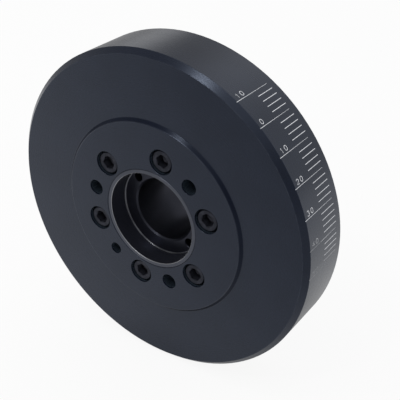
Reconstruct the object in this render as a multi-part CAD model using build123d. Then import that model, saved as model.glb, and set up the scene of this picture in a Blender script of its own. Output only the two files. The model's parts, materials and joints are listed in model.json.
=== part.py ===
"""Crankshaft harmonic balancer with an elastomer-tuned inertia ring.

A steel hub slides on the crankshaft snout.  Two shells bolt to the front of its
flange and close a ring-shaped chamber.  A heavy inertia ring floats in that
chamber between round elastomer rings, and turns a little against the shells.

Frame, in millimetres: the crank axis is the Y axis, the front of the balancer
looks toward -Y, +Z is up, and the origin is where the crank axis meets the rear
seat of the hub.  Depths are measured backward from the front of the boss.
"""

import math
import os

from build123d import *

# ---------------------------------------------------------------- hub sizes
hub_length = 62.5               # nose to rear seat
crank_bore_diameter = 34.9      # light press on a 1.375 in crank snout
bore_front_chamfer = 0.8
bore_rear_edge_break = 0.4
keyway_width = 4.78
keyway_depth = 2.4              # beyond the bore radius
shoulder_width = 7.55           # flat for the crank bolt washer
counterbore_depth = 11.4        # nose face to that shoulder
counterbore_floor_round = 1.0
nose_wall = 2.25
nose_edge_break = 0.25
flange_margin = 9.7             # bolt circle to the flange rim
flange_thickness = 12.0
flange_edge_break = 0.8
journal_wall = 6.05             # bore to the front oil seal journal
journal_lead_in = 2.0
journal_root_round = 1.5

# ---------------------------------------------------- holes on the hub circle
bolt_land = 1.45                # metal between the nose and a screw counterbore
screw_count = 6
pulley_hole_count = 3
pulley_hole_diameter = 8.33     # close fit on a 5/16 in pulley bolt
pulley_tap_diameter = 6.9       # tapping drill in the hub flange
puller_tap_diameter = 5.1       # tapping drill for the puller's 1/4 in screws
puller_hole_depth = 12.0
tapped_mouth_break = 0.4
drill_point_angle = 118.0       # cone that a drill leaves below a blind hole
pin_diameter = 6.35
pin_setback = 8.0               # boss face to the near end of the pin
pin_engagement = 8.0            # length of pin in the hub flange
pin_hole_relief = 1.0           # hole left beyond the pin
pin_end_break = 0.5
timing_angle = 47.8             # zero mark, from +X toward +Z, in degrees

# ----------------------------------------------------------- hub screw sizes
screw_thread_diameter = 7.94    # 5/16 in
screw_head_diameter = 11.91
screw_head_height = 7.94
screw_head_edge_break = 0.5
socket_across_flats = 6.35
socket_depth = 4.3
head_recess = 1.2               # head top below the boss face
head_side_gap = 0.8             # head to counterbore wall
screw_seat_thickness = 5.4      # shell left under the head
screw_tip_setback = 1.1
screw_tip_break = 0.8
shank_side_gap = 0.4            # free fit for the shank in the shells

# --------------------------------------------------------- outer shell sizes
shell_diameter = 179.7
rim_width = 33.6                # front face of the rim to its rear edge
rim_wall = 4.6
rim_front_chamfer = 2.7
rim_rear_chamfer = 0.6
face_wall = 6.5
boss_overhang = 2.5             # boss edge beyond the chamber core
boss_rise = 1.7
boss_bevel_run = 1.7
turned_edge_round = 0.3         # at the corners of the boss and of the rim
hole_edge_break = 0.15
chamber_corner_round = 0.6      # inside corners, clear of the inertia ring's broken edges

# ---------------------------------------------------------- rear shell sizes
rear_web_thickness = 6.0
rear_wall = 5.4
rear_wall_inset = 0.6           # rear wall below the edge of the rim
cup_wall = 4.7
register_step = 1.0             # shoulder in the rim that the rear wall faces

# ------------------------------------------------- inertia ring and elastomer
ring_side_gap = 0.5
ring_rim_gap = 0.5
ring_core_gap = 0.5
ring_edge_break = 0.8
cord_width = 3.5                # squeezed elastomer ring, along its groove
cord_height = 3.0               # and across it
cord_corner_break = 0.7
cord_running_gap = 0.1          # to the groove in the inertia ring
shell_groove_depth = 1.3
groove_side_gap = 0.3
face_cord_count = 3             # on each face of the inertia ring

# ---------------------------------------------------------------- clearances
slide_fit = 0.03                # radial, between turned parts that register
flange_gap = 0.3                # flange rim to the cup around it
register_gap = 0.1              # rear wall to the shoulder in the rim
nose_recess = 0.15              # nose face below the boss face
pin_fit = 0.05                  # radial, locating pin in its holes

# -------------------------------------------------- radii that follow from it
bore_radius = crank_bore_diameter / 2
shoulder_inner_radius = bore_radius + bore_front_chamfer
counterbore_radius = shoulder_inner_radius + shoulder_width
nose_radius = counterbore_radius + nose_wall
shell_bore_radius = nose_radius + slide_fit
screw_pocket_radius = screw_head_diameter / 2 + head_side_gap
bolt_circle_radius = nose_radius + bolt_land + screw_pocket_radius
flange_radius = bolt_circle_radius + flange_margin
journal_radius = bore_radius + journal_wall
cup_inner_radius = flange_radius + flange_gap
core_radius = cup_inner_radius + cup_wall
boss_radius = core_radius + boss_overhang
shell_radius = shell_diameter / 2
chamber_radius = shell_radius - rim_wall
register_radius = chamber_radius + register_step
ring_inner_radius = core_radius + ring_core_gap
ring_outer_radius = chamber_radius - ring_rim_gap
screw_shank_radius = screw_thread_diameter / 2
screw_hole_radius = screw_shank_radius + shank_side_gap
pin_hole_radius = pin_diameter / 2 + pin_fit

# ----------------------------------------- places along the axis, front to rear
nose_y = -hub_length
boss_y = nose_y - nose_recess
face_y = boss_y + boss_rise
chamber_front_y = face_y + face_wall
head_top_y = boss_y + head_recess
head_seat_y = head_top_y + screw_head_height
web_joint_y = head_seat_y + screw_seat_thickness
flange_front_y = web_joint_y + rear_web_thickness
flange_rear_y = flange_front_y + flange_thickness
shoulder_y = nose_y + counterbore_depth
rim_rear_y = face_y + rim_width
rear_wall_back_y = rim_rear_y - rear_wall_inset
rear_wall_front_y = rear_wall_back_y - rear_wall
ring_front_y = chamber_front_y + ring_side_gap
ring_rear_y = rear_wall_front_y - ring_side_gap
ring_middle_y = (ring_front_y + ring_rear_y) / 2
ring_thickness = ring_rear_y - ring_front_y

# ------------------------------------------------------------ elastomer seats
groove_width = cord_width + 2 * groove_side_gap
ring_side_groove_depth = cord_height + cord_running_gap - shell_groove_depth - ring_side_gap
ring_rim_groove_depth = cord_height + cord_running_gap - shell_groove_depth - ring_rim_gap
ring_core_groove_depth = cord_height + cord_running_gap - shell_groove_depth - ring_core_gap
face_cord_pitch = (ring_outer_radius - ring_inner_radius) / (face_cord_count + 1)
face_cord_radii = [ring_inner_radius + face_cord_pitch * (n + 1) for n in range(face_cord_count)]
rim_cord_places = [ring_middle_y - ring_thickness / 4, ring_middle_y + ring_thickness / 4]
core_cord_place = (web_joint_y + rear_wall_front_y) / 2

# ----------------------------------------------------- clocking round the axis
screw_angles = [timing_angle + 90 - n * 360 / screw_count for n in range(screw_count)]
pulley_angles = [timing_angle - n * 360 / pulley_hole_count for n in range(pulley_hole_count)]
puller_angles = [timing_angle + 90, timing_angle - 90]
pin_angle = timing_angle + 180


def turned(points, rounds=()):
    """Revolve a closed outline of (radius, y) points about the crank axis.

    Each item of rounds is (radius, y, size): the corner at that place gets an arc.
    """
    outline = make_face(Polyline(*points, close=True))
    for radius, y, size in rounds:
        corner = outline.vertices().sort_by_distance((radius, y, 0))[0]
        outline = fillet(corner, size)
    return revolve(outline, Axis.Y, 360)


def band(inner, outer, start, end):
    """A plain ring between two radii and two places along the axis."""
    return turned([(inner, start), (outer, start), (outer, end), (inner, end)])


def at_angle(radius, angle, y=0.0):
    """Place on a circle about the crank axis, the angle taken from +X toward +Z."""
    turn = math.radians(angle)
    return Pos(radius * math.cos(turn), y, radius * math.sin(turn))


def drill(radius, start, end):
    """A cylinder along Y between two places on the axis, for cutting a hole."""
    return Pos(0, (start + end) / 2, 0) * Rot(90, 0, 0) * Cylinder(radius, end - start)


def blind_drill(radius, start, depth):
    """A drilled hole that stops in the metal, with the cone under its full depth."""
    point = radius / math.tan(math.radians(drill_point_angle / 2))
    return turned([(0, start), (radius, start), (radius, start + depth), (0, start + depth + point)])


def mouth_break(radius, y, size, inward=1):
    """The cone that breaks the edge of a hole's mouth; the hole goes in toward inward * Y."""
    floor = y + inward * size
    return turned([(0, y), (radius + size, y), (radius, floor), (0, floor)])


def cord(points_inner, points_outer):
    """An elastomer ring: a flattened bead with its four corners broken."""
    (r0, y0), (r1, y1) = points_inner, points_outer
    b = cord_corner_break
    return turned([
        (r0 + b, y0), (r1 - b, y0), (r1, y0 + b), (r1, y1 - b),
        (r1 - b, y1), (r0 + b, y1), (r0, y1 - b), (r0, y0 + b),
    ])


def make_front_shell():
    """Front face, boss and full-width rim, turned from one billet."""
    shell = turned([
        (shell_bore_radius + nose_edge_break, boss_y),
        (boss_radius, boss_y),
        (boss_radius + boss_bevel_run, face_y),
        (shell_radius - rim_front_chamfer, face_y),
        (shell_radius, face_y + rim_front_chamfer),
        (shell_radius, rim_rear_y - rim_rear_chamfer),
        (shell_radius - rim_rear_chamfer, rim_rear_y),
        (register_radius, rim_rear_y),
        (register_radius, rear_wall_front_y - register_gap),
        (chamber_radius, rear_wall_front_y - register_gap),
        (chamber_radius, chamber_front_y),
        (core_radius, chamber_front_y),
        (core_radius, web_joint_y),
        (shell_bore_radius, web_joint_y),
        (shell_bore_radius, boss_y + nose_edge_break),
    ], rounds=[
        (boss_radius, boss_y, turned_edge_round),
        (boss_radius + boss_bevel_run, face_y, turned_edge_round),
        (shell_radius - rim_front_chamfer, face_y, turned_edge_round),
        (shell_radius, face_y + rim_front_chamfer, turned_edge_round),
        (chamber_radius, chamber_front_y, chamber_corner_round),
        (core_radius, chamber_front_y, chamber_corner_round),
    ])
    for radius in face_cord_radii:
        shell -= band(radius - groove_width / 2, radius + groove_width / 2,
                      chamber_front_y - shell_groove_depth, chamber_front_y)
    for y in rim_cord_places:
        shell -= band(chamber_radius, chamber_radius + shell_groove_depth,
                      y - groove_width / 2, y + groove_width / 2)
    pocket = drill(screw_pocket_radius, boss_y, head_seat_y)
    pocket += drill(screw_hole_radius, head_seat_y, web_joint_y)
    pocket += mouth_break(screw_pocket_radius, boss_y, hole_edge_break)
    for angle in screw_angles:
        shell -= at_angle(bolt_circle_radius, angle) * pocket
    pulley_hole = drill(pulley_hole_diameter / 2, boss_y, web_joint_y)
    pulley_hole += mouth_break(pulley_hole_diameter / 2, boss_y, hole_edge_break)
    for angle in pulley_angles:
        shell -= at_angle(bolt_circle_radius, angle) * pulley_hole
    pin_hole = drill(pin_hole_radius, boss_y, web_joint_y)
    pin_hole += mouth_break(pin_hole_radius, boss_y, hole_edge_break)
    return shell - at_angle(bolt_circle_radius, pin_angle) * pin_hole


def make_rear_shell():
    """Web under the front shell, cup round the flange, and the rear wall."""
    outer = register_radius - slide_fit
    shell = turned([
        (shell_bore_radius, web_joint_y),
        (core_radius, web_joint_y),
        (core_radius, rear_wall_front_y),
        (outer, rear_wall_front_y),
        (outer, rear_wall_back_y - rim_rear_chamfer),
        (outer - rim_rear_chamfer, rear_wall_back_y),
        (cup_inner_radius, rear_wall_back_y),
        (cup_inner_radius, flange_front_y),
        (shell_bore_radius, flange_front_y),
    ])
    for radius in face_cord_radii:
        shell -= band(radius - groove_width / 2, radius + groove_width / 2,
                      rear_wall_front_y, rear_wall_front_y + shell_groove_depth)
    shell -= band(core_radius - shell_groove_depth, core_radius,
                  core_cord_place - groove_width / 2, core_cord_place + groove_width / 2)
    for angle in screw_angles:
        shell -= at_angle(bolt_circle_radius, angle) * drill(screw_hole_radius, web_joint_y, flange_front_y)
    for angle in pulley_angles:
        hole = drill(pulley_hole_diameter / 2, web_joint_y, flange_front_y)
        shell -= at_angle(bolt_circle_radius, angle) * hole
    shell -= at_angle(bolt_circle_radius, pin_angle) * drill(pin_hole_radius, web_joint_y, flange_front_y)
    return shell


def make_hub():
    """Nose, flange and seal journal on the crank bore, with its keyway."""
    hub = turned([
        (counterbore_radius + nose_edge_break, nose_y),
        (nose_radius - nose_edge_break, nose_y),
        (nose_radius, nose_y + nose_edge_break),
        (nose_radius, flange_front_y),
        (flange_radius - flange_edge_break, flange_front_y),
        (flange_radius, flange_front_y + flange_edge_break),
        (flange_radius, flange_rear_y - flange_edge_break),
        (flange_radius - flange_edge_break, flange_rear_y),
        (journal_radius, flange_rear_y),
        (journal_radius, -journal_lead_in),
        (journal_radius - journal_lead_in / 2, 0),
        (bore_radius + bore_rear_edge_break, 0),
        (bore_radius, -bore_rear_edge_break),
        (bore_radius, shoulder_y + bore_front_chamfer),
        (shoulder_inner_radius, shoulder_y),
        (counterbore_radius, shoulder_y),
        (counterbore_radius, nose_y + nose_edge_break),
    ], rounds=[
        (journal_radius, flange_rear_y, journal_root_round),
        (counterbore_radius, shoulder_y, counterbore_floor_round),
    ])
    keyway_reach = bore_radius + keyway_depth
    keyway = Pos(keyway_reach / 2, shoulder_y / 2, 0) * Box(keyway_reach, -shoulder_y, keyway_width)
    hub -= Rot(0, -timing_angle, 0) * keyway
    for radius, angles in ((screw_shank_radius + slide_fit, screw_angles),
                           (pulley_tap_diameter / 2, pulley_angles)):
        tapped = drill(radius, flange_front_y, flange_rear_y)
        tapped += mouth_break(radius, flange_rear_y, tapped_mouth_break, inward=-1)
        for angle in angles:
            hub -= at_angle(bolt_circle_radius, angle) * tapped
    puller_hole = blind_drill(puller_tap_diameter / 2, shoulder_y, puller_hole_depth)
    puller_hole += mouth_break(puller_tap_diameter / 2, shoulder_y, tapped_mouth_break)
    for angle in puller_angles:
        hub -= at_angle(shoulder_inner_radius + shoulder_width / 2, angle) * puller_hole
    pin_hole = blind_drill(pin_hole_radius, flange_front_y, pin_engagement + pin_hole_relief)
    return hub - at_angle(bolt_circle_radius, pin_angle) * pin_hole


def make_inertia_ring():
    """The floating steel ring, grooved on both faces, its rim and its bore."""
    b = ring_edge_break
    ring = turned([
        (ring_inner_radius + b, ring_front_y), (ring_outer_radius - b, ring_front_y),
        (ring_outer_radius, ring_front_y + b), (ring_outer_radius, ring_rear_y - b),
        (ring_outer_radius - b, ring_rear_y), (ring_inner_radius + b, ring_rear_y),
        (ring_inner_radius, ring_rear_y - b), (ring_inner_radius, ring_front_y + b),
    ])
    for radius in face_cord_radii:
        inner, outer = radius - groove_width / 2, radius + groove_width / 2
        ring -= band(inner, outer, ring_front_y, ring_front_y + ring_side_groove_depth)
        ring -= band(inner, outer, ring_rear_y - ring_side_groove_depth, ring_rear_y)
    for y in rim_cord_places:
        ring -= band(ring_outer_radius - ring_rim_groove_depth, ring_outer_radius,
                     y - groove_width / 2, y + groove_width / 2)
    ring -= band(ring_inner_radius, ring_inner_radius + ring_core_groove_depth,
                 core_cord_place - groove_width / 2, core_cord_place + groove_width / 2)
    return ring


def make_hub_screw():
    """Socket head cap screw on the Y axis, at its own depth in the shells."""
    b = screw_head_edge_break
    head_radius = screw_head_diameter / 2
    tip_y = flange_rear_y - screw_tip_setback
    screw = turned([
        (0, head_top_y), (head_radius - b, head_top_y), (head_radius, head_top_y + b),
        (head_radius, head_seat_y), (screw_shank_radius, head_seat_y),
        (screw_shank_radius, tip_y - screw_tip_break),
        (screw_shank_radius - screw_tip_break, tip_y), (0, tip_y),
    ])
    hexagon = RegularPolygon(socket_across_flats / 2, 6, major_radius=False)
    socket = extrude(Plane.XZ * hexagon, socket_depth, both=True)
    return screw - Pos(0, head_top_y, 0) * socket


def make_pin():
    """Locating pin that lets the shells bolt on in one position only."""
    b = pin_end_break
    radius = pin_diameter / 2
    front, rear = boss_y + pin_setback, flange_front_y + pin_engagement
    return turned([
        (0, front), (radius - b, front), (radius, front + b),
        (radius, rear - b), (radius - b, rear), (0, rear),
    ])


parts = {
    "front_shell": make_front_shell(),
    "rear_shell": make_rear_shell(),
    "hub": make_hub(),
    "inertia_ring": make_inertia_ring(),
    "locating_pin": at_angle(bolt_circle_radius, pin_angle) * make_pin(),
}
hub_screw = make_hub_screw()
for number, angle in enumerate(screw_angles, start=1):
    parts[f"hub_screw_{number}"] = at_angle(bolt_circle_radius, angle) * hub_screw
for number, radius in enumerate(face_cord_radii, start=1):
    inner, outer = radius - cord_width / 2, radius + cord_width / 2
    front_floor = chamber_front_y - shell_groove_depth
    rear_floor = rear_wall_front_y + shell_groove_depth
    parts[f"front_elastomer_{number}"] = cord((inner, front_floor), (outer, front_floor + cord_height))
    parts[f"rear_elastomer_{number}"] = cord((inner, rear_floor - cord_height), (outer, rear_floor))
for number, y in enumerate(rim_cord_places, start=1):
    floor = chamber_radius + shell_groove_depth - slide_fit
    parts[f"rim_elastomer_{number}"] = cord((floor - cord_height, y - cord_width / 2),
                                            (floor, y + cord_width / 2))
core_floor = core_radius - shell_groove_depth + slide_fit
parts["core_elastomer"] = cord((core_floor, core_cord_place - cord_width / 2),
                               (core_floor + cord_height, core_cord_place + cord_width / 2))

os.makedirs("parts", exist_ok=True)
for name, solid in parts.items():
    solid.label = name
    export_step(solid, f"parts/{name}.step")
    print(f"{name}: {solid.volume / 1000:.2f} cm3")
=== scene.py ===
"""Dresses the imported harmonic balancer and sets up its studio.

The CAD frame gives every solid and its place.  This script models the six
screws in full and the painted degree scale, gives each node its finish, and
places the floor, the lamps and the camera.  Lengths are in metres in the
frame's own axes: the crank axis is Y, and the front looks toward -Y.
"""
import json
import logging
import math
from dataclasses import dataclass, field
from enum import Enum
from typing import Callable, Union

import bmesh
import bpy
from mathutils import Matrix, Vector


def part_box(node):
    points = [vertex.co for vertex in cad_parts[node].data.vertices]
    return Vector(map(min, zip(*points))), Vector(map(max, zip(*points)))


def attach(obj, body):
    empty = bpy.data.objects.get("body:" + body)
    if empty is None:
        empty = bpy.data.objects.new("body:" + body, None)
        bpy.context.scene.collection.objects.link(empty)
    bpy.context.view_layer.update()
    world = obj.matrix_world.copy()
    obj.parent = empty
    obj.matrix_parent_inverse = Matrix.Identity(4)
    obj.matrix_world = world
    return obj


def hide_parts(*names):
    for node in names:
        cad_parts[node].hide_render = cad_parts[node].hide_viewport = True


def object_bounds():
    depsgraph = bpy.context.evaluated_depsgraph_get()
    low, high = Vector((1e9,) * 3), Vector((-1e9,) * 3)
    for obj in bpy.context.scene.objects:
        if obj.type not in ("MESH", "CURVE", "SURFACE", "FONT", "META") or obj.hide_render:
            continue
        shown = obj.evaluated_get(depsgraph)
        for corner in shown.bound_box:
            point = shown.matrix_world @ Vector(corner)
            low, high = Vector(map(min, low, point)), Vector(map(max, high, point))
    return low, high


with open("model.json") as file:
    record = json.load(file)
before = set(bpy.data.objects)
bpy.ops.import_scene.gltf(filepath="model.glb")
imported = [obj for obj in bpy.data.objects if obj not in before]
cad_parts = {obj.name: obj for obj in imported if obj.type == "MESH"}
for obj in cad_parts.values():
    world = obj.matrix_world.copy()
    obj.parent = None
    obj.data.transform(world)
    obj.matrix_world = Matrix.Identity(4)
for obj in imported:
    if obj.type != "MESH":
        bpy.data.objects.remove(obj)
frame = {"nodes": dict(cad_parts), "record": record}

log = logging.getLogger("balancer")

MM = 0.001
#: Places closer than this are one place.
HAIR = 0.01 * MM
#: How much of a face's normal points the way that the face looks.
FACING = 0.9
#: Degrees between the points of an arc.
ARC_STEP = 12
UP = Vector((0, 0, 1))
ALONG = Vector((1, 0, 0))
CAD_BOX = [list(corner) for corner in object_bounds()]

Point = tuple[float, float]
Colour = tuple[float, float, float]
Piece = bpy.types.Object
Material = bpy.types.Material
Socket = bpy.types.NodeSocket
Number = Union["Value", float, int]


class Body(Enum):
    """The CAD body that the new pieces ride on."""

    HOUSING = "housing"


class Slot(Enum):
    """The record's material slots."""

    SHELL = "shell_coat"
    HUB = "hub_steel"
    RING = "ring_steel"
    ELASTOMER = "elastomer"
    SCREW = "screw_steel"
    PIN = "pin_steel"


# ---- shader values


def node_method(operation: str) -> Callable[..., "Value"]:
    """Makes a method of Value that adds one Math node.

    Args:
        operation: the node's operation.

    Returns:
        The method, which takes the values after the first.
    """

    def method(value: "Value", *others: Number) -> "Value":
        """Adds the node and wraps its result."""
        return value.recipe.maths(operation, value, *others)

    return method


class Value:
    """A number on a shader socket, so that shader maths reads as Python."""

    def __init__(self, recipe: "Recipe", socket: Socket) -> None:
        """Wraps a socket.

        Args:
            recipe: the material being built.
            socket: the output that carries the number.
        """
        self.recipe = recipe
        self.socket = socket

    __add__ = __radd__ = node_method("ADD")
    __sub__ = node_method("SUBTRACT")
    __mul__ = __rmul__ = node_method("MULTIPLY")
    __truediv__ = node_method("DIVIDE")
    __pow__ = node_method("POWER")
    __abs__ = node_method("ABSOLUTE")
    sine = node_method("SINE")
    least = node_method("MINIMUM")
    most = node_method("MAXIMUM")
    #: The angle whose tangent is this over another value.
    angle_to = node_method("ARCTAN2")
    #: This brought into a repeating range, whose high end is named first.
    wrapped = node_method("WRAP")

    def __rsub__(self, other: Number) -> "Value":
        """Other less this."""
        return self.recipe.maths("SUBTRACT", other, self)

    def ramp(self, start: float, end: float, low: float = 0.0, high: float = 1.0) -> "Value":
        """A smooth step.

        Args:
            start: where it begins to rise.
            end: where it has risen.
            low: the result before start.
            high: the result after end.

        Returns:
            The stepped value.
        """
        node = self.recipe.node(
            "ShaderNodeMapRange",
            {"Value": self, "From Min": start, "From Max": end, "To Min": low, "To Max": high},
            interpolation_type="SMOOTHSTEP",
            clamp=True,
        )
        return Value(self.recipe, node.outputs["Result"])

    def near(self, place: float, reach: float) -> "Value":
        """1 at a place, and 0 further from it than reach."""
        return abs(self - place).ramp(reach, 0.0)

    def swing(self, size: float) -> "Value":
        """A noise as a swing about zero, with its size."""
        return (self - 0.5) * size


@dataclass(frozen=True)
class Step:
    """A smooth step from one level to another."""

    start: float
    end: float
    low: float = 0.0
    high: float = 1.0

    def of(self, value: Value) -> Value:
        """The step's level at a value."""
        return value.ramp(self.start, self.end, self.low, self.high)


@dataclass(frozen=True)
class Grain:
    """A noise: how many grains there are in a metre, and how many finer layers."""

    scale: float
    detail: float = 1.0


@dataclass(frozen=True)
class Turned:
    """A shaded point: how far it is from the crank axis, its angle, and its place along."""

    radius: Value
    angle: Value
    y: Value


@dataclass(frozen=True)
class LatheLines:
    """Turned lines: their spacing, how soon each changes round the axis, and their layers."""

    pitch: float
    drift: float
    detail: float = 2.0


class Recipe:
    """The nodes of one material, or of the world, while they are being laid."""

    def __init__(self, name: str, kind: str = "materials") -> None:
        """Starts with no nodes.

        Args:
            name: the name of the material or world.
            kind: the collection of bpy.data that it belongs to.
        """
        self.owner = getattr(bpy.data, kind).new(name)
        self.owner.use_nodes = True
        self.tree = self.owner.node_tree
        self.tree.nodes.clear()

    def node(self, kind: str, inputs: dict | None = None, **settings: object) -> bpy.types.Node:
        """Adds one node.

        Args:
            kind: the node's type.
            inputs: what its sockets hold, by name or number: a constant or a link.
            settings: its own settings, which are set first.

        Returns:
            The node.
        """
        node = self.tree.nodes.new(kind)
        for name, value in settings.items():
            setattr(node, name, value)
        for key, value in (inputs or {}).items():
            socket = node.inputs[key]
            source = value.socket if isinstance(value, Value) else value
            if isinstance(source, Socket):
                self.tree.links.new(source, socket)
            elif isinstance(source, tuple) and len(source) == 3 and socket.type == "RGBA":
                socket.default_value = (*source, 1.0)
            else:
                socket.default_value = source
        return node

    def maths(self, operation: str, *values: Number) -> Value:
        """Adds a Math node and wraps its result."""
        node = self.node("ShaderNodeMath", dict(enumerate(values)), operation=operation)
        return Value(self, node.outputs[0])

    def place(self) -> Socket:
        """The point on the object, in the frame."""
        return self.node("ShaderNodeTexCoord").outputs["Object"]

    def axes(self, place: Socket | None = None) -> tuple[Value, Value, Value]:
        """The X, Y and Z of a vector, or of the point on the object."""
        split = self.node("ShaderNodeSeparateXYZ", {"Vector": place or self.place()})
        x, y, z = (Value(self, out) for out in split.outputs)
        return x, y, z

    def turned(self) -> Turned:
        """The point round the crank axis."""
        x, y, z = self.axes()
        return Turned((x * x + z * z) ** 0.5, z.angle_to(x), y)

    def noise(self, grain: Grain, place: Socket | None = None) -> Value:
        """A noise from 0 to 1.

        Args:
            grain: how fine it is.
            place: where it is read, if not at the object's own place.

        Returns:
            The noise.
        """
        inputs = {"Vector": place or self.place(), "Scale": grain.scale, "Detail": grain.detail}
        return Value(self, self.node("ShaderNodeTexNoise", inputs).outputs[0])

    def lathe(self, lines: LatheLines, along: Value, angle: Value) -> Value:
        """The lines that a turning tool leaves, from 0 to 1.

        Args:
            lines: their spacing and drift.
            along: the way the tool went.
            angle: the angle round the crank axis.

        Returns:
            The height of the lines.
        """
        place = {"X": along / lines.pitch, "Y": angle * lines.drift, "Z": 0.0}
        joined = self.node("ShaderNodeCombineXYZ", place).outputs[0]
        return self.noise(Grain(1.0, lines.detail), joined)

    def blend(self, share: Number, first: object, second: object) -> Socket:
        """Mixes two colours by a share."""
        inputs = {"Factor": share, 6: first, 7: second}
        return self.node("ShaderNodeMix", inputs, data_type="RGBA").outputs[2]

    def finish(
        self, height: Value, depth: float, dull: Value | None = None, **sockets: object
    ) -> Material:
        """Ends the material in a Principled shader.

        Args:
            height: the relief, from 0 to 1.
            depth: how deep the relief is.
            dull: where the shine is taken off as painted shade, so that the surface reads dark, from 0 to
                1, or None.
            sockets: the shader's sockets, with underscores for spaces.

        Returns:
            The material.
        """
        named = {key.replace("_", " "): value for key, value in sockets.items()}
        relief = {"Height": height, "Distance": depth, "Strength": 1.0}
        named["Normal"] = self.node("ShaderNodeBump", relief).outputs[0]
        shader = self.node("ShaderNodeBsdfPrincipled", named)
        if dull is not None:
            matt = self.node("ShaderNodeBsdfPrincipled", named | {"Specular IOR Level": 0.0})
            both = {0: dull, 1: shader.outputs[0], 2: matt.outputs[0]}
            shader = self.node("ShaderNodeMixShader", both)
        self.node("ShaderNodeOutputMaterial", {"Surface": shader.outputs[0]})
        return self.owner

    def seen_by(self, *rays: str) -> Value:
        """1 for the kinds of ray that are named, such as Is Camera Ray, and 0 for the rest."""
        path = self.node("ShaderNodeLightPath")
        first, *others = (Value(self, path.outputs[ray]) for ray in rays)
        for other in others:
            first = first.most(other)
        return first


# ---- sizes from the CAD


def rings(node: str) -> list[Point]:
    """The distance from the crank axis and the Y of each vertex of a CAD node."""
    vertices = frame["nodes"][node].data.vertices
    return [(math.hypot(vertex.co.x, vertex.co.z), vertex.co.y) for vertex in vertices]


#: The front face lies beyond this share of the rim's radius.
FACE_SHARE = 0.8
#: How far from the middle of the recess's floor its vertices are looked for.
SHOULDER_REACH = 2 * MM


@dataclass(frozen=True)
class BalancerSizes:
    """The sizes that the finishes and the new pieces need, read from the frame."""

    rim_radius: float
    rim_front_radius: float
    boss_y: float
    boss_radius: float
    face_y: float
    nose_y: float
    nose_radius: float
    recess_radius: float
    bore_radius: float
    shoulder_y: float
    journal_radius: float
    bolt_circle: float
    tapped_radius: float
    head_y: float
    zero_angle: float

    @classmethod
    def from_frame(cls) -> "BalancerSizes":
        """Reads the sizes from the nodes' meshes and the record's mounts."""
        dims = {mount["name"]: mount["dims"] for mount in frame["record"]["mounts"]}
        shell, hub = rings("front_shell"), rings("hub")
        low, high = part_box("locating_pin")
        pin = (low + high) / 2
        rim_radius = max(radius for radius, _ in shell)
        boss_y = min(y for _, y in shell)
        nose_y = min(y for _, y in hub)
        face_y = min(y for radius, y in shell if radius > rim_radius * FACE_SHARE)
        bore_radius = dims["crank_bore"]["r_mm"] * MM
        recess_radius = dims["washer_recess"]["r_mm"] * MM
        middle = (bore_radius + recess_radius) / 2
        return cls(
            rim_radius=rim_radius,
            rim_front_radius=max(radius for radius, y in shell if y < face_y + HAIR),
            boss_y=boss_y,
            boss_radius=max(radius for radius, y in shell if y < boss_y + HAIR),
            face_y=face_y,
            nose_y=nose_y,
            nose_radius=max(radius for radius, y in hub if y < nose_y + MM),
            recess_radius=recess_radius,
            bore_radius=bore_radius,
            shoulder_y=min(y for radius, y in hub if abs(radius - middle) < SHOULDER_REACH),
            journal_radius=dims["seal_journal"]["r_mm"] * MM,
            bolt_circle=dims["pulley_threads"]["pcd_mm"] / 2 * MM,
            tapped_radius=dims["pulley_threads"]["hole_r_mm"] * MM,
            head_y=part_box("hub_screw_1")[0].y,
            zero_angle=math.atan2(-pin.z, -pin.x),
        )


SIZES = BalancerSizes.from_frame()


# ---- finishes


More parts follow.
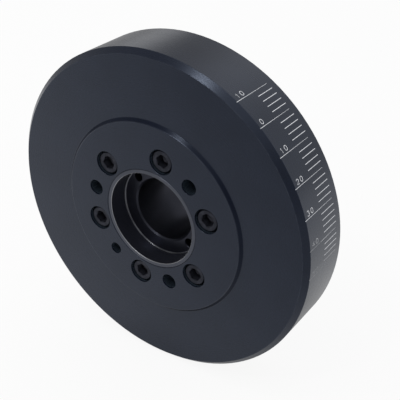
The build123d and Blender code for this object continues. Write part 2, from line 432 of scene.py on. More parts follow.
@dataclass(frozen=True)
class AnodisedShell:
    """Blue-black anodising on turned aluminium, with lathe lines, handled edges and painted shade on the
    bevel round the boss.
    """

    colour: Colour = (0.0042, 0.0060, 0.0135)
    cloud_colour: Colour = (0.0058, 0.0080, 0.0170)
    worn_colour: Colour = (0.020, 0.023, 0.034)
    hole_colour: Colour = (0.023, 0.032, 0.044)
    tint: Colour = (0.68, 0.785, 1.0)
    specular: float = 0.59
    roughness: float = 0.26
    clouds: Grain = Grain(55.0, 3.0)
    clouded: Step = Step(0.3, 0.7)
    specks: Grain = Grain(2600.0)
    wear: Grain = Grain(240.0, 3.0)
    worn_through: Step = Step(0.35, 0.65, low=0.2)
    wear_reach: float = 0.35 * MM
    worn_polish: float = 0.10
    lines: LatheLines = LatheLines(0.28 * MM, 0.15)
    bands: LatheLines = LatheLines(6 * MM, 0.4, detail=1.0)
    line_depth: float = 0.0014 * MM
    line_share: float = 0.8
    line_sheen: float = 0.10
    band_sheen: float = 0.05
    speck_sheen: float = 0.05
    rim_skin: float = 0.3 * MM
    skin_end: float = 0.1 * MM
    hole_start: float = 0.6 * MM
    hole_end: float = 1.0 * MM
    hole_margin: float = 1 * MM
    bevel_start: float = 0.25 * MM
    bevel_end: float = 0.45 * MM
    bevel_foot: float = 0.2 * MM
    bevel_dullness: float = 0.62

    def material(self) -> Material:
        """Builds the material."""
        recipe = Recipe("anodised_shell")
        at = recipe.turned()
        on_rim = at.radius.ramp(SIZES.rim_radius - self.rim_skin, SIZES.rim_radius - self.skin_end)
        along = at.radius * (1 - on_rim) + at.y * on_rim
        lathe = recipe.lathe(self.lines, along, at.angle)
        broad = recipe.lathe(self.bands, along, at.angle)
        cloud = recipe.noise(self.clouds)
        speck = recipe.noise(self.specks)
        worn = self.worn_edges(at) * self.worn_through.of(recipe.noise(self.wear))
        tone = recipe.blend(self.clouded.of(cloud), self.colour, self.cloud_colour)
        colour = recipe.blend(worn, tone, self.worn_colour)
        colour = recipe.blend(self.in_holes(at), colour, self.hole_colour)
        roughness = self.roughness + lathe.swing(self.line_sheen) + broad.swing(self.band_sheen)
        roughness = roughness + speck.swing(self.speck_sheen) - worn * self.worn_polish
        return recipe.finish(
            lathe * self.line_share + speck * (1 - self.line_share),
            self.line_depth,
            # Painted shade: the bevel round the boss loses its shine and reads dark.
            self.on_bevel(at) * self.bevel_dullness,
            Base_Color=colour,
            Roughness=roughness,
            Specular_IOR_Level=self.specular,
            Specular_Tint=(*self.tint, 1.0),
        )

    def in_holes(self, at: Turned) -> Value:
        """1 on the walls of the holes behind the boss and 0 elsewhere."""
        behind = at.y.ramp(SIZES.boss_y + self.hole_start, SIZES.boss_y + self.hole_end)
        return behind * at.radius.ramp(SIZES.boss_radius, SIZES.boss_radius - self.hole_margin)

    def on_bevel(self, at: Turned) -> Value:
        """1 on the bevel round the boss, where painted shade takes off the shine, and 0 elsewhere."""
        foot = SIZES.boss_radius
        side = at.radius.ramp(foot + self.bevel_start, foot + self.bevel_end)
        return side * at.y.ramp(SIZES.face_y, SIZES.face_y - self.bevel_foot)

    def worn_edges(self, at: Turned) -> Value:
        """1 on the turned edges that have lost some of their colour and 0 elsewhere."""
        chamfer = SIZES.rim_radius - SIZES.rim_front_radius
        edges = (
            (SIZES.boss_radius, SIZES.boss_y),
            (SIZES.rim_front_radius, SIZES.face_y),
            (SIZES.rim_radius, SIZES.face_y + chamfer),
            (SIZES.nose_radius, SIZES.boss_y),
        )
        total: Number = 0.0
        for radius, y in edges:
            edge = at.radius.near(radius, self.wear_reach) * at.y.near(y, self.wear_reach)
            total = edge + total
        return total.least(1.0)


@dataclass(frozen=True)
class TurnedHubSteel:
    """Black-oxide steel, brighter where the nose was faced last."""

    colour: Colour = (0.028, 0.030, 0.041)
    cloud_colour: Colour = (0.036, 0.038, 0.052)
    nose_colour: Colour = (0.093, 0.100, 0.124)
    edge_colour: Colour = (0.13, 0.135, 0.15)
    break_colour: Colour = (0.40, 0.41, 0.44)
    wall_colour: Colour = (0.084, 0.090, 0.122)
    metallic: float = 0.85
    roughness: float = 0.30
    edge_roughness: float = 0.21
    break_roughness: float = 0.33
    clouds: Grain = Grain(90.0, 3.0)
    clouded: Step = Step(0.3, 0.7)
    clouded_nose: Step = Step(0.2, 0.6, low=0.8)
    clouded_edge: Step = Step(0.3, 0.6, low=0.3)
    specks: Grain = Grain(2200.0)
    lines: LatheLines = LatheLines(0.22 * MM, 0.2)
    line_sheen: float = 0.12
    line_share: float = 0.02
    speck_sheen: float = 0.06
    skin: float = 0.1 * MM
    nose_start: float = 0.2 * MM
    nose_end: float = 0.45 * MM
    edge_reach: float = 0.5 * MM
    floor_reach: float = 0.65 * MM
    edge_fade: Step = Step(0.05, 0.3)
    break_size: float = 0.25 * MM
    break_fade: Step = Step(0.05, 0.2)
    hole_count: int = 3
    thread_pitch: float = 1.41 * MM
    thread_depth: float = 0.25 * MM
    thread_start: float = 1.04
    thread_end: float = 1.12

    def material(self) -> Material:
        """Builds the material."""
        recipe = Recipe("turned_hub_steel")
        at = recipe.turned()
        in_recess = at.radius.near(SIZES.recess_radius, self.skin)
        wall = in_recess.most(at.radius.near(SIZES.bore_radius, self.skin))
        wall = wall.most(at.radius.near(SIZES.journal_radius, self.skin))
        lathe = recipe.lathe(self.lines, at.radius * (1 - wall) + at.y * wall, at.angle)
        cloud = recipe.noise(self.clouds)
        speck = recipe.noise(self.specks)
        nose = at.y.ramp(SIZES.nose_y + self.nose_end, SIZES.nose_y + self.nose_start)
        edge = self.bright_edges(at)
        broken = self.broken_edge(at)
        colour = recipe.blend(self.clouded.of(cloud), self.colour, self.cloud_colour)
        colour = recipe.blend(nose * self.clouded_nose.of(cloud), colour, self.nose_colour)
        colour = recipe.blend(in_recess * (1 - nose), colour, self.wall_colour)
        colour = recipe.blend(edge * self.clouded_edge.of(cloud), colour, self.edge_colour)
        colour = recipe.blend(broken, colour, self.break_colour)
        roughness = self.roughness + lathe.swing(self.line_sheen) + speck.swing(self.speck_sheen)
        roughness = roughness * (1 - edge) + edge * self.edge_roughness
        roughness = roughness * (1 - broken) + broken * self.break_roughness
        return recipe.finish(
            lathe * self.line_share + self.threads(at),
            self.thread_depth,
            Base_Color=colour,
            Roughness=roughness,
            Metallic=self.metallic,
        )

    def bright_edges(self, at: Turned) -> Value:
        """1 on the smooth mouth and the smooth round floor of the recess, and 0 elsewhere."""
        reach = self.edge_reach
        mouth = at.radius.near(SIZES.recess_radius, reach) * at.y.near(SIZES.nose_y, reach)
        across = at.radius.near(SIZES.recess_radius - reach, self.floor_reach)
        floor = across * at.y.near(SIZES.shoulder_y - reach, self.floor_reach)
        return self.edge_fade.of(mouth.most(floor))

    def broken_edge(self, at: Turned) -> Value:
        """1 on the bare bevel round the recess's mouth and 0 elsewhere."""
        half = self.break_size / 2
        across = at.radius.near(SIZES.recess_radius + half, self.break_size)
        return self.break_fade.of(across * at.y.near(SIZES.nose_y + half, half))

    def threads(self, at: Turned) -> Value:
        """The relief of the threads in the three pulley bolt holes, and 0 outside them."""
        half = math.pi / self.hole_count
        local = (at.angle - SIZES.zero_angle).wrapped(half, -half)
        across = local * SIZES.bolt_circle
        out = at.radius - SIZES.bolt_circle
        reach = (across * across + out * out) ** 0.5
        inside = (reach / SIZES.tapped_radius).ramp(self.thread_end, self.thread_start)
        turn = out.angle_to(across) / (2 * math.pi)
        wave = ((at.y / self.thread_pitch + turn) * (2 * math.pi)).sine() * 0.5 + 0.5
        return wave * inside


@dataclass(frozen=True)
class TurnedRingSteel:
    """Bright turned steel with a light oil film, for the ring inside."""

    colour: Colour = (0.42, 0.42, 0.43)
    film_colour: Colour = (0.30, 0.29, 0.27)
    roughness: float = 0.30
    film: Grain = Grain(70.0, 3.0)
    filmed: Step = Step(0.35, 0.7)
    lines: LatheLines = LatheLines(0.35 * MM, 0.3)
    line_depth: float = 0.004 * MM
    line_sheen: float = 0.16

    def material(self) -> Material:
        """Builds the material."""
        recipe = Recipe("turned_ring_steel")
        at = recipe.turned()
        lathe = recipe.lathe(self.lines, at.radius + at.y, at.angle)
        film = self.filmed.of(recipe.noise(self.film))
        return recipe.finish(
            lathe,
            self.line_depth,
            Base_Color=recipe.blend(film, self.colour, self.film_colour),
            Roughness=self.roughness + lathe.swing(self.line_sheen),
            Metallic=1.0,
        )


@dataclass(frozen=True)
class MouldedRubber:
    """Matt black rubber with a dusty bloom."""

    colour: Colour = (0.018, 0.018, 0.018)
    bloom_colour: Colour = (0.050, 0.050, 0.048)
    roughness: float = 0.72
    bloom: Grain = Grain(160.0, 4.0)
    bloomed: Step = Step(0.45, 0.8, high=0.6)
    grain: Grain = Grain(3000.0, 2.0)
    bloom_sheen: float = 0.2
    grain_depth: float = 0.01 * MM

    def material(self) -> Material:
        """Builds the material."""
        recipe = Recipe("moulded_rubber")
        bloom = recipe.noise(self.bloom)
        return recipe.finish(
            recipe.noise(self.grain),
            self.grain_depth,
            Base_Color=recipe.blend(self.bloomed.of(bloom), self.colour, self.bloom_colour),
            Roughness=self.roughness + bloom.swing(self.bloom_sheen),
        )


@dataclass(frozen=True)
class OxidedFastener:
    """Black-oxide steel of the screws and the pin, paler where a key has rubbed it, with painted light
    that makes the socket's mouth, walls and floor paler than the head's top.
    """

    name: str = "oxided_screw"
    colour: Colour = (0.024, 0.026, 0.036)
    rubbed_colour: Colour = (0.042, 0.045, 0.060)
    # Painted light: the socket's mouth and walls, and then its floor, are paler than the head's top.
    deep_colour: Colour = (0.075, 0.080, 0.105)
    floor_colour: Colour = (0.050, 0.052, 0.066)
    roughness: float = 0.34
    metallic: float = 0.8
    rubbing: Grain = Grain(420.0, 3.0)
    rubbed: Step = Step(0.4, 0.7)
    rubbed_sheen: float = 0.2
    grain: Grain = Grain(3500.0, 2.0)
    grain_depth: float = 0.006 * MM
    # Painted light: how far below the head top the mouth turns paler, and then the floor.
    deep: Step = Step(0.3 * MM, 0.9 * MM)
    floor: Step = Step(2.2 * MM, 4.6 * MM)

    def material(self) -> Material:
        """Builds the material."""
        recipe = Recipe(self.name)
        rubbed = recipe.noise(self.rubbing)
        _, y, _ = recipe.axes()
        below = y - SIZES.head_y
        colour = recipe.blend(self.rubbed.of(rubbed), self.colour, self.rubbed_colour)
        # Painted light in the socket, paler by depth below the head top.
        colour = recipe.blend(self.deep.of(below), colour, self.deep_colour)
        colour = recipe.blend(self.floor.of(below), colour, self.floor_colour)
        return recipe.finish(
            recipe.noise(self.grain),
            self.grain_depth,
            Base_Color=colour,
            Roughness=self.roughness + rubbed.swing(self.rubbed_sheen),
            Metallic=self.metallic,
        )


@dataclass(frozen=True)
class EngravingPaint:
    """White paint in the engraved marks, thinner in patches and worn at the high readings."""

    colour: Colour = (0.94, 0.96, 1.0)
    thin_colour: Colour = (0.66, 0.68, 0.72)
    worn_colour: Colour = (0.085, 0.090, 0.105)
    roughness: float = 0.5
    patches: Grain = Grain(900.0, 3.0)
    thinned: Step = Step(0.45, 0.75)
    grain: Grain = Grain(5000.0)
    grain_sheen: float = 0.2
    grain_depth: float = 0.004 * MM
    wear_share: float = 0.8
    worn_front: Step = Step(33.0, 42.0)
    worn_length: Step = Step(15.0 * MM, 12.0 * MM)
    worn_last: Step = Step(44.0, 50.0)

    def material(self) -> Material:
        """Builds the material."""
        recipe = Recipe("scale_paint")
        at = recipe.turned()
        reading = (SIZES.zero_angle - at.angle) * math.degrees(1)
        worn = self.worn_front.of(reading) * self.worn_length.of(at.y - SIZES.face_y)
        worn = worn.most(self.worn_last.of(reading)) * self.wear_share
        grain = recipe.noise(self.grain)
        thin = self.thinned.of(recipe.noise(self.patches))
        colour = recipe.blend(thin, self.colour, self.thin_colour)
        return recipe.finish(
            grain,
            self.grain_depth,
            Base_Color=recipe.blend(worn, colour, self.worn_colour),
            Roughness=self.roughness + grain.swing(self.grain_sheen),
        )


# ---- modelling


def deselect() -> None:
    """Leaves object mode with nothing selected."""
    if bpy.context.mode != "OBJECT":
        bpy.ops.object.mode_set(mode="OBJECT")
    bpy.ops.object.select_all(action="DESELECT")


def make_active(piece: Piece) -> None:
    """Selects one object alone and makes it the active one."""
    deselect()
    piece.select_set(True)
    bpy.context.view_layer.objects.active = piece


def select_parts(piece: Piece, kind: str, test: Callable[[object], bool]) -> None:
    """Selects the parts of the mesh in edit mode that pass a test.

    Args:
        piece: the object in edit mode.
        kind: FACE or EDGE.
        test: takes a face or an edge.
    """
    bpy.ops.mesh.select_mode(type=kind)
    bpy.ops.mesh.select_all(action="DESELECT")
    mesh = bmesh.from_edit_mesh(piece.data)
    for part in mesh.faces if kind == "FACE" else mesh.edges:
        part.select_set(test(part))
    bmesh.update_edit_mesh(piece.data)


def faces_toward(piece: Piece, way: Vector) -> None:
    """Selects the faces of the mesh in edit mode that look one way."""
    select_parts(piece, "FACE", lambda face: face.normal.dot(way) > FACING)


def edges_where(piece: Piece, test: Callable[[Vector, Vector], bool]) -> None:
    """Selects the edges of the mesh in edit mode that pass a test.

    Args:
        piece: the object in edit mode.
        test: takes the places of an edge's two ends.
    """
    select_parts(piece, "EDGE", lambda edge: test(edge.verts[0].co, edge.verts[1].co))


def widen(share: float) -> None:
    """Makes the selected faces wider, or narrower, about their middle."""
    bpy.ops.transform.resize(value=(share, share, 1))


def push_end(step: float, share: float) -> None:
    """Extrudes the selected end face along -Z and changes its size.

    Args:
        step: how far it goes.
        share: its new size over its old one.
    """
    bpy.ops.mesh.extrude_region_move(TRANSFORM_OT_translate={"value": (0, 0, -step)})
    widen(share)


def cylinder(sides: int, radius: float, top: float, depth: float) -> Piece:
    """Adds an upright cylinder round the Z axis.

    Args:
        sides: how many sides it has.
        radius: its radius.
        top: the height of its upper end.
        depth: how far down it goes.

    Returns:
        The cylinder, in edit mode.
    """
    deselect()
    bpy.ops.mesh.primitive_cylinder_add(
        vertices=sides, radius=radius, depth=depth, location=(0, 0, top - depth / 2)
    )
    bpy.ops.object.transform_apply(location=True)
    bpy.ops.object.mode_set(mode="EDIT")
    return bpy.context.active_object


def apply_modifiers(piece: Piece) -> None:
    """Applies every modifier of an object in order."""
    make_active(piece)
    for modifier in list(piece.modifiers):
        bpy.ops.object.modifier_apply(modifier=modifier.name)


def settle(piece: Piece, turn: Matrix) -> None:
    """Puts an object's place into its mesh and leaves the object at the origin.

    Args:
        piece: the object.
        turn: the place to give it.
    """
    make_active(piece)
    piece.matrix_world = turn
    bpy.ops.object.transform_apply()


def copy_of(piece: Piece, name: str) -> Piece:
    """A copy of an object with its own mesh."""
    twin = piece.copy()
    twin.data = piece.data.copy()
    twin.name = name
    twin.data.name = name
    bpy.context.scene.collection.objects.link(twin)
    return twin


def paint(piece: Piece, material: Material) -> None:
    """Gives an object one material all over."""
    piece.data.materials.clear()
    piece.data.materials.append(material)


# ---- sub-assemblies


@dataclass
class HubScrews:
    """The six socket head cap screws that hold both shells to the hub."""

    finish: OxidedFastener = field(default_factory=OxidedFastener)
    count: int = 6
    thread_radius: float = 3.97 * MM
    core_radius: float = 3.35 * MM
    thread_pitch: float = 1.411 * MM
    head_edge: float = 0.5 * MM
    knurl_count: int = 48
    knurl_depth: float = 0.13 * MM
    socket_flats: float = 6.35 * MM
    socket_depth: float = 4.9 * MM
    point_depth: float = 0.4
    point_width: float = 0.15
    punch_over: float = 1 * MM
    mouth_radius: float = 3.95 * MM
    mouth_depth: float = 0.45 * MM
    mouth_sides: int = 48
    tip_break: float = 0.8 * MM
    plain_length: float = 6.0 * MM
    shank_bite: float = 0.2 * MM
    shank_sides: int = 32
    spin: float = 0.4
    smooth_angle: float = math.radians(32)

    def build(self) -> list[Piece]:
        """Models one screw and copies it to each of the six places.

        Returns:
            The six screws.
        """
        pattern = self.model_screw()
        material = self.finish.material()
        made = []
        for number in range(1, self.count + 1):
            node = f"hub_screw_{number}"
            low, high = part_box(node)
            place = Vector(((low.x + high.x) / 2, low.y, (low.z + high.z) / 2))
            screw = copy_of(pattern, f"cap_screw_{number}")
            spin = Matrix.Rotation(self.spin * number, 4, "Y")
            settle(screw, Matrix.Translation(place) @ spin @ Matrix.Rotation(math.pi / 2, 4, "X"))
            paint(screw, material)
            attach(screw, Body.HOUSING.value)
            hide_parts(node)
            made.append(screw)
        bpy.data.objects.remove(pattern)
        return made

    def model_screw(self) -> Piece:
        """Models a screw whose head top is at the origin and whose tip points down.

        Returns:
            The screw along -Z.
        """
        low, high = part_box("hub_screw_1")
        head = self.model_head((high.x - low.x) / 2)
        shank = self.model_shank(high.y - low.y)
        make_active(head)
        shank.select_set(True)
        bpy.ops.object.join()
        bpy.ops.object.shade_smooth_by_angle(angle=self.smooth_angle)
        head.name = "screw_pattern"
        return head

    def model_head(self, head_radius: float) -> Piece:
        """The knurled head with its broken edge and hexagon socket.

        Args:
            head_radius: the head's radius.

        Returns:
            The head, its top at the origin.
        """
        head = cylinder(2 * self.knurl_count, head_radius, 0, 2 * self.thread_radius)
        faces_toward(head, UP)
        bpy.ops.mesh.inset(thickness=self.head_edge)
        outside = head_radius - HAIR
        step = math.pi / self.knurl_count

        def on_top_edge(a: Vector, b: Vector) -> bool:
            """True for the edges round the top."""
            return min(a.z, b.z) > -HAIR and min(a.xy.length, b.xy.length) > outside

        def in_valley(a: Vector, b: Vector) -> bool:
            """True for every other upright edge of the side."""
            upright = a.xy.length > outside and (a.xy - b.xy).length < HAIR
            turn = round(math.atan2(a.y, a.x) / step)
            return upright and turn % 2 == 0

        edges_where(head, on_top_edge)
        bpy.ops.transform.translate(value=(0, 0, -self.head_edge))
        edges_where(head, in_valley)
        widen(1 - self.knurl_depth / head_radius)
        bpy.ops.object.mode_set(mode="OBJECT")
        for cutter in (self.model_socket_cutter(), self.model_mouth_cutter()):
            cut = head.modifiers.new("socket", "BOOLEAN")
            cut.object = cutter
            cut.operation = "DIFFERENCE"
            cut.solver = "EXACT"
            apply_modifiers(head)
            bpy.data.objects.remove(cutter)
        return head

    def model_socket_cutter(self) -> Piece:
        """The hexagon punch with a pointed end."""
        corner = self.socket_flats / math.sqrt(3)
        punch = cylinder(6, corner, self.punch_over, self.punch_over + self.socket_depth)
        faces_toward(punch, -UP)
        push_end(corner * self.point_depth, self.point_width)
        bpy.ops.object.mode_set(mode="OBJECT")
        return punch

    def model_mouth_cutter(self) -> Piece:
        """The countersink that breaks the mouth of the socket."""
        over = self.mouth_depth
        sink = cylinder(self.mouth_sides, self.mouth_radius, over, 2 * over)
        faces_toward(sink, -UP)
        widen(1 - 2 * over / self.mouth_radius)
        faces_toward(sink, UP)
        widen(1 + over / self.mouth_radius)
        bpy.ops.object.mode_set(mode="OBJECT")
        return sink

    def model_shank(self, length: float) -> Piece:
        """The threaded shank from under the head to the pointed tip.

        Args:
            length: the screw's whole length.

        Returns:
            The shank along -Z.
        """
        start = -2 * self.thread_radius + self.shank_bite
        plain = self.plain_length + self.shank_bite
        shank = cylinder(self.shank_sides, self.thread_radius, start, plain)
        faces_toward(shank, -UP)
        turns = int((length + start - plain - self.tip_break) / self.thread_pitch)
        taper = self.core_radius / self.thread_radius
        for _ in range(turns):
            push_end(self.thread_pitch / 2, taper)
            push_end(self.thread_pitch / 2, 1 / taper)
        rest = length + start - plain - turns * self.thread_pitch
        push_end(rest - self.tip_break, 1.0)
        push_end(self.tip_break, 1 - self.tip_break / self.thread_radius)
        bpy.ops.object.mode_set(mode="OBJECT")
        return shank


@dataclass
class DegreeScale:
    """The painted degree scale on the rim, with its marks and numbers."""

    finish: EngravingPaint = field(default_factory=EngravingPaint)
    first_degree: int = -10
    last_degree: int = 50
    minor_step: int = 2
    major_step: int = 10
    major_start: float = 2.35 * MM
    major_end: float = 27.9 * MM
    major_width: float = 0.25 * MM
    major_taper: float = 0.45
    minor_start: float = 16.4 * MM
    minor_end: float = 28.5 * MM
    minor_width: float = 0.30 * MM
    depth: float = 0.12 * MM
    corner_share: float = 0.45
    corner_segments: int = 3
    number_start: float = 5.05 * MM
    number_lift: float = 1.12 * MM
    digit_height: float = 2.4 * MM
    digit_width: float = 1.9 * MM
    digit_advance: float = 3.42 * MM
    stroke_width: float = 0.29 * MM

    def build(self) -> list[Piece]:
        """Makes every mark and number.

        Returns:
            The marks and numbers, each its own piece.
        """
        material = self.finish.material()
        made = []
        for degree in range(self.first_degree, self.last_degree + 1, self.minor_step):
            tag = f"minus_{-degree}" if degree < 0 else str(degree)
            major = degree % self.major_step == 0
            made.append(self.mark(f"scale_mark_{tag}", degree, major))
            if major:
                made.append(self.number(f"scale_number_{tag}", degree))
        for piece in made:
            paint(piece, material)
            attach(piece, Body.HOUSING.value)
        return made

    def on_rim(self, degree: float) -> Matrix:
        """The place on the rim of a degree of the scale.

        Args:
            degree: the reading of the scale.

        Returns:
            A matrix whose X runs backward along the axis, whose Y runs up round
            the rim and whose Z points out of it.
        """
        angle = SIZES.zero_angle - math.radians(degree)
        out = Vector((math.cos(angle), 0, math.sin(angle)))
        up = Vector((-math.sin(angle), 0, math.cos(angle)))
        back = Vector((0, 1, 0))
        origin = out * SIZES.rim_radius + back * SIZES.face_y
        turn = Matrix((back, up, out)).transposed().to_4x4()
        return Matrix.Translation(origin) @ turn

    def mark(self, name: str, degree: int, major: bool) -> Piece:
        """One engraved line.

        Args:
            name: the piece's name.
            degree: its reading.
            major: whether it is a long, numbered one.

        Returns:
            The filled line.
        """
        start, end, width = self.minor_start, self.minor_end, self.minor_width
        if major:
            start, end, width = self.major_start, self.major_end, self.major_width
        deselect()
        bpy.ops.mesh.primitive_cube_add(size=1, location=((start + end) / 2, 0, -self.depth / 2))
        line = bpy.context.active_object
        line.name = name
        line.scale = (end - start, width, self.depth)
        bpy.ops.object.transform_apply(location=True, scale=True)
        bpy.ops.object.mode_set(mode="EDIT")
        if major:
            faces_toward(line, ALONG)
            bpy.ops.transform.resize(value=(1, self.major_taper, 1))
        edges_where(line, lambda a, b: abs(a.z - b.z) > self.depth / 2)
        corner = width * self.major_taper * self.corner_share
        bpy.ops.mesh.bevel(offset=corner, segments=self.corner_segments, affect="EDGES")
        bpy.ops.object.mode_set(mode="OBJECT")
        settle(line, self.on_rim(degree))
        return line

    def number(self, name: str, degree: int) -> Piece:
        """One number, standing on its mark and bent to the rim.

        Args:
            name: the piece's name.
            degree: its reading.

        Returns:
            The painted number.
        """
        letters = str(abs(degree))
        digits = [self.digit(letter, place) for place, letter in enumerate(letters)]
        make_active(digits[0])
        for digit in digits:
            digit.select_set(True)
        bpy.ops.object.join()
        number = bpy.context.active_object
        number.name = name
        number.data.name = name
        for vertex in number.data.vertices:
            turn = (self.number_lift + vertex.co.y) / SIZES.rim_radius
            out = SIZES.rim_radius - self.depth / 2 + vertex.co.z
            lift = out * math.cos(turn) - SIZES.rim_radius
            vertex.co = Vector((vertex.co.x, out * math.sin(turn), lift))
        settle(number, self.on_rim(degree))
        return number

    def digit(self, letter: str, place: int) -> Piece:
        """One digit as the engraver's cutter draws it, in a stroke of even width.

        Args:
            letter: the digit.
            place: how many digits stand before it.

        Returns:
            The filled stroke, lying in XY.
        """
        deselect()
        curve = bpy.data.curves.new(f"digit_{letter}", "CURVE")
        curve.dimensions = "2D"
        curve.fill_mode = "NONE"
        curve.extrude = self.depth / 2
        path = DIGIT_PATHS[letter]
        closed = (path[0] - path[-1]).length < HAIR
        spline = curve.splines.new("POLY")
        points = path[:-1] if closed else path
        spline.points.add(len(points) - 1)
        spline.use_cyclic_u = closed
        start = self.number_start + place * self.digit_advance
        for point, at in zip(spline.points, points):
            point.co = (start + at.x * self.digit_width, at.y * self.digit_height, 0, 1)
        stroke = bpy.data.objects.new(curve.name, curve)
        bpy.context.scene.collection.objects.link(stroke)
        make_active(stroke)
        bpy.ops.object.convert(target="MESH")
        stroke = bpy.context.active_object
        thicken = stroke.modifiers.new("stroke", "SOLIDIFY")
        thicken.thickness = self.stroke_width
        thicken.offset = 0
        apply_modifiers(stroke)
        return stroke


def arc(centre: Point, reach: Point, start: float, end: float) -> list[Vector]:
    """Points along part of an oval.

    Args:
        centre: its middle.
        reach: its half width and half height.
        start: the first angle, in degrees from the right.
        end: the last angle.

    Returns:
        The points, about ARC_STEP degrees apart.
    """
    steps = max(2, round(abs(end - start) / ARC_STEP))
    angles = [math.radians(start + (end - start) * step / steps) for step in range(steps + 1)]
    x, y = centre
    return [Vector((x + reach[0] * math.cos(a), y + reach[1] * math.sin(a))) for a in angles]


def corners(*points: Point) -> list[Vector]:
    """The corners of a stroke drawn with straight lines."""
    return [Vector(point) for point in points]


#: The path of each digit's stroke, in a square whose side is 1.
DIGIT_PATHS: dict[str, list[Vector]] = {
    "0": arc((0.5, 0.5), (0.5, 0.5), 0, 360),
    "1": corners((0.2, 0.72), (0.55, 1.0), (0.55, 0.0)),
    "2": arc((0.5, 0.7), (0.46, 0.3), 165, -35) + corners((0.04, 0.0), (1.0, 0.0)),
    "3": arc((0.47, 0.76), (0.42, 0.24), 150, -70) + arc((0.5, 0.27), (0.5, 0.27), 75, -155),
    "4": corners((0.74, 0.0), (0.74, 1.0), (0.0, 0.32), (1.0, 0.32)),
    "5": corners((0.92, 1.0), (0.14, 1.0), (0.08, 0.54))
    + arc((0.48, 0.32), (0.5, 0.32), 120, -150),
}


@dataclass
class CarriedNodes:
    """The CAD solids that stay as they are and take a finish."""

    shell: AnodisedShell = field(default_factory=AnodisedShell)
    hub: TurnedHubSteel = field(default_factory=TurnedHubSteel)
    ring: TurnedRingSteel = field(default_factory=TurnedRingSteel)
    rubber: MouldedRubber = field(default_factory=MouldedRubber)
    pin: OxidedFastener = OxidedFastener(
        "ground_pin",
        colour=(0.10, 0.10, 0.10),
        rubbed_colour=(0.15, 0.15, 0.15),
        roughness=0.3,
        metallic=1.0,
        deep_colour=(0.12, 0.12, 0.12),
        floor_colour=(0.12, 0.12, 0.12),
    )
    screw: OxidedFastener = field(default_factory=OxidedFastener)

    def dress(self) -> None:
        """Gives each node the finish of its slot."""
        finishes = {
            Slot.SHELL.value: self.shell.material(),
            Slot.HUB.value: self.hub.material(),
            Slot.RING.value: self.ring.material(),
            Slot.ELASTOMER.value: self.rubber.material(),
            Slot.PIN.value: self.pin.material(),
            Slot.SCREW.value: self.screw.material(),
        }
        for part in frame["record"]["subparts"]:
            node = frame["nodes"][part["node"]]
            paint(node, finishes[part["material_slot"]])
            log.info("dressed %s", node.name)


# ---- studio


@dataclass(frozen=True)
class Lamp:
    """A soft rectangular lamp that looks at the balancer.

    Its azimuth is in degrees from -Y toward +X, and its elevation above the floor.
    A fill lamp lights surfaces without showing in what is polished.
    """

    name: str
    azimuth: float
    elevation: float
    distance: float
    sides: Point
    power: float
    fill: bool = False

    def place(self, target: Vector) -> Piece:
        """Puts the lamp in the scene.

        Args:
            target: what it looks at.

        Returns:
            The lamp.
        """
        data = bpy.data.lights.new(self.name, "AREA")
        data.shape = "RECTANGLE"
        data.size, data.size_y = self.sides
        data.energy = self.power
        lamp = bpy.data.objects.new(self.name, data)
        a, e = math.radians(self.azimuth), math.radians(self.elevation)
        away = Vector((math.sin(a) * math.cos(e), -math.cos(a) * math.cos(e), math.sin(e)))
        lamp.location = target + away * self.distance
        lamp.rotation_euler = (-away).to_track_quat("-Z", "Y").to_euler()
        lamp.visible_glossy = not self.fill
        bpy.context.scene.collection.objects.link(lamp)
        return lamp


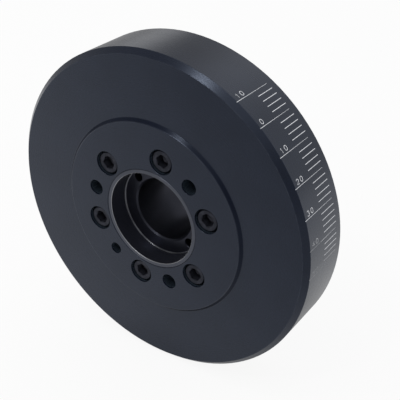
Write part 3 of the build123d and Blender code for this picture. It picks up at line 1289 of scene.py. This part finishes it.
@dataclass
class Studio:
    """The floor, the lamps, the dark side of the room and the camera.

    The room is white to the camera.  Polished things also show its dark side,
    where nothing stands behind the lamps, and the floor's painted light and shade:
    dimmer in front, with a painted shadow round where the balancer stands.
    """

    camera_place: Vector = field(default_factory=lambda: Vector((0.22048, -0.33765, 0.22192)))
    camera_elevation: float = 30.8757
    camera_azimuth: float = 34.5676
    lens: float = 73.048
    sensor: float = 36.0
    clip_start: float = 0.01
    clip_end: float = 20.0
    white: Colour = (1.0, 1.0, 1.0)
    floor_colour: Colour = (0.9, 0.9, 0.9)
    floor_size: float = 6.0
    floor_cuts: int = 4
    floor_white: float = 0.9
    floor_middle: float = 0.76
    floor_rightward: float = -1.2
    floor_backward: float = 1.3
    floor_least: float = 0.38
    floor_back: Step = Step(-0.08, 0.06)
    floor_right: Step = Step(-0.10, 0.16, 0.45, 0.95)
    floor_corner_x: Step = Step(-0.2, -0.7)
    floor_corner_y: Step = Step(0.0, 0.4, high=0.55)
    floor_contact: Step = Step(0.03, 0.10, low=0.5)
    room_fill: float = 0.7
    room_front: Step = Step(0.2, -0.6, high=0.28)
    room_left: Step = Step(0.0, -0.45, high=0.58)
    room_right: Step = Step(-0.1, 0.5, high=0.30)
    room_back: Step = Step(0.0, 0.5)
    dark_way: Vector = field(default_factory=lambda: Vector((0.75, -0.65, -0.10)).normalized())
    dark_side: Step = Step(0.55, 0.98, high=0.50)
    lamps: tuple[Lamp, ...] = (
        Lamp("front_lamp", azimuth=-5.5, elevation=54.5, distance=1.5, sides=(0.16, 0.16), power=1.8),
        Lamp("back_lamp", azimuth=-132, elevation=16, distance=1.5, sides=(0.7, 0.35), power=0.4),
        Lamp("fill_lamp", azimuth=-60, elevation=50, distance=1.4, sides=(0.9, 0.9), power=3.5, fill=True),
    )

    def build(self) -> None:
        """Sets the whole studio."""
        self.make_world()
        self.make_floor()
        for lamp in self.lamps:
            lamp.place(Vector((0, SIZES.boss_y / 2, 0)))
        self.make_camera()
        bpy.context.scene.view_settings.view_transform = "Standard"

    def room_level(self, recipe: Recipe, way: Socket) -> Value:
        """How bright the room shows in what is polished.

        Args:
            recipe: the world being laid.
            way: the direction into the room.

        Returns:
            1 behind the balancer, less in front and least on the dark side.
        """
        x, y, z = recipe.axes(way)
        toward = x * self.dark_way.x + y * self.dark_way.y + z * self.dark_way.z
        right = self.room_right.of(x) * self.room_back.of(y)
        level = 1 - self.dark_side.of(toward) - right - self.room_front.of(y)
        return level * (1 - self.room_left.of(x))

    def make_world(self) -> None:
        """A white room whose dark side only shows in what is polished."""
        recipe = Recipe("room", "worlds")
        white = recipe.seen_by("Is Camera Ray", "Is Transmission Ray")
        glossy = recipe.seen_by("Is Glossy Ray")
        way = recipe.node("ShaderNodeTexCoord").outputs["Generated"]
        level = glossy * self.room_level(recipe, way) + white
        level = level + (1 - glossy.most(white)) * self.room_fill
        shade = recipe.node("ShaderNodeBackground", {"Color": self.white, "Strength": level})
        recipe.node("ShaderNodeOutputWorld", {"Surface": shade.outputs[0]})
        bpy.context.scene.world = recipe.owner

    def make_floor(self) -> None:
        """A white floor that keeps a soft shadow; polished things see it with painted light and shade."""
        deselect()
        bpy.ops.mesh.primitive_grid_add(
            x_subdivisions=self.floor_cuts,
            y_subdivisions=self.floor_cuts,
            size=self.floor_size,
            location=(0, 0, CAD_BOX[0][2]),
        )
        floor = bpy.context.active_object
        floor.name = "studio_floor"
        bpy.ops.object.transform_apply(location=True)
        recipe = Recipe("studio_floor")
        seen = recipe.seen_by("Is Camera Ray", "Is Glossy Ray", "Is Transmission Ray")
        glossy = recipe.seen_by("Is Glossy Ray")
        x, y, _ = recipe.axes()
        lit = (x * self.floor_rightward + y * self.floor_backward + self.floor_middle).least(1.0)
        lit = lit.most(self.floor_back.of(y) * self.floor_right.of(x)).most(self.floor_least)
        lit = lit * (1 - self.floor_corner_x.of(x) * self.floor_corner_y.of(y))
        # Painted shadow: polished things see the floor darker close round the balancer.
        lit = lit * self.floor_contact.of((x * x + y * y) ** 0.5)
        plain = recipe.node("ShaderNodeBsdfDiffuse", {"Color": self.floor_colour})
        glow = {"Color": self.white, "Strength": 1 - glossy * (1 - lit)}
        white = recipe.node("ShaderNodeEmission", glow)
        both = {0: seen * self.floor_white, 1: plain.outputs[0], 2: white.outputs[0]}
        mixed = recipe.node("ShaderNodeMixShader", both)
        recipe.node("ShaderNodeOutputMaterial", {"Surface": mixed.outputs[0]})
        paint(floor, recipe.owner)

    def make_camera(self) -> None:
        """The camera at its fitted place."""
        data = bpy.data.cameras.new("camera")
        data.lens = self.lens
        data.sensor_width = self.sensor
        data.sensor_fit = "AUTO"
        data.clip_start = self.clip_start
        data.clip_end = self.clip_end
        camera = bpy.data.objects.new("camera", data)
        camera.location = self.camera_place
        tilt = math.radians(90 - self.camera_elevation)
        camera.rotation_euler = (tilt, 0, math.radians(self.camera_azimuth))
        bpy.context.scene.collection.objects.link(camera)
        bpy.context.scene.camera = camera


def main() -> None:
    """Builds the classes in order."""
    logging.basicConfig(level=logging.INFO, format="%(name)s: %(message)s")
    CarriedNodes().dress()
    for made in (HubScrews().build(), DegreeScale().build()):
        log.info("made %d pieces, from %s to %s", len(made), made[0].name, made[-1].name)
    Studio().build()


if __name__ == "__main__":
    main()
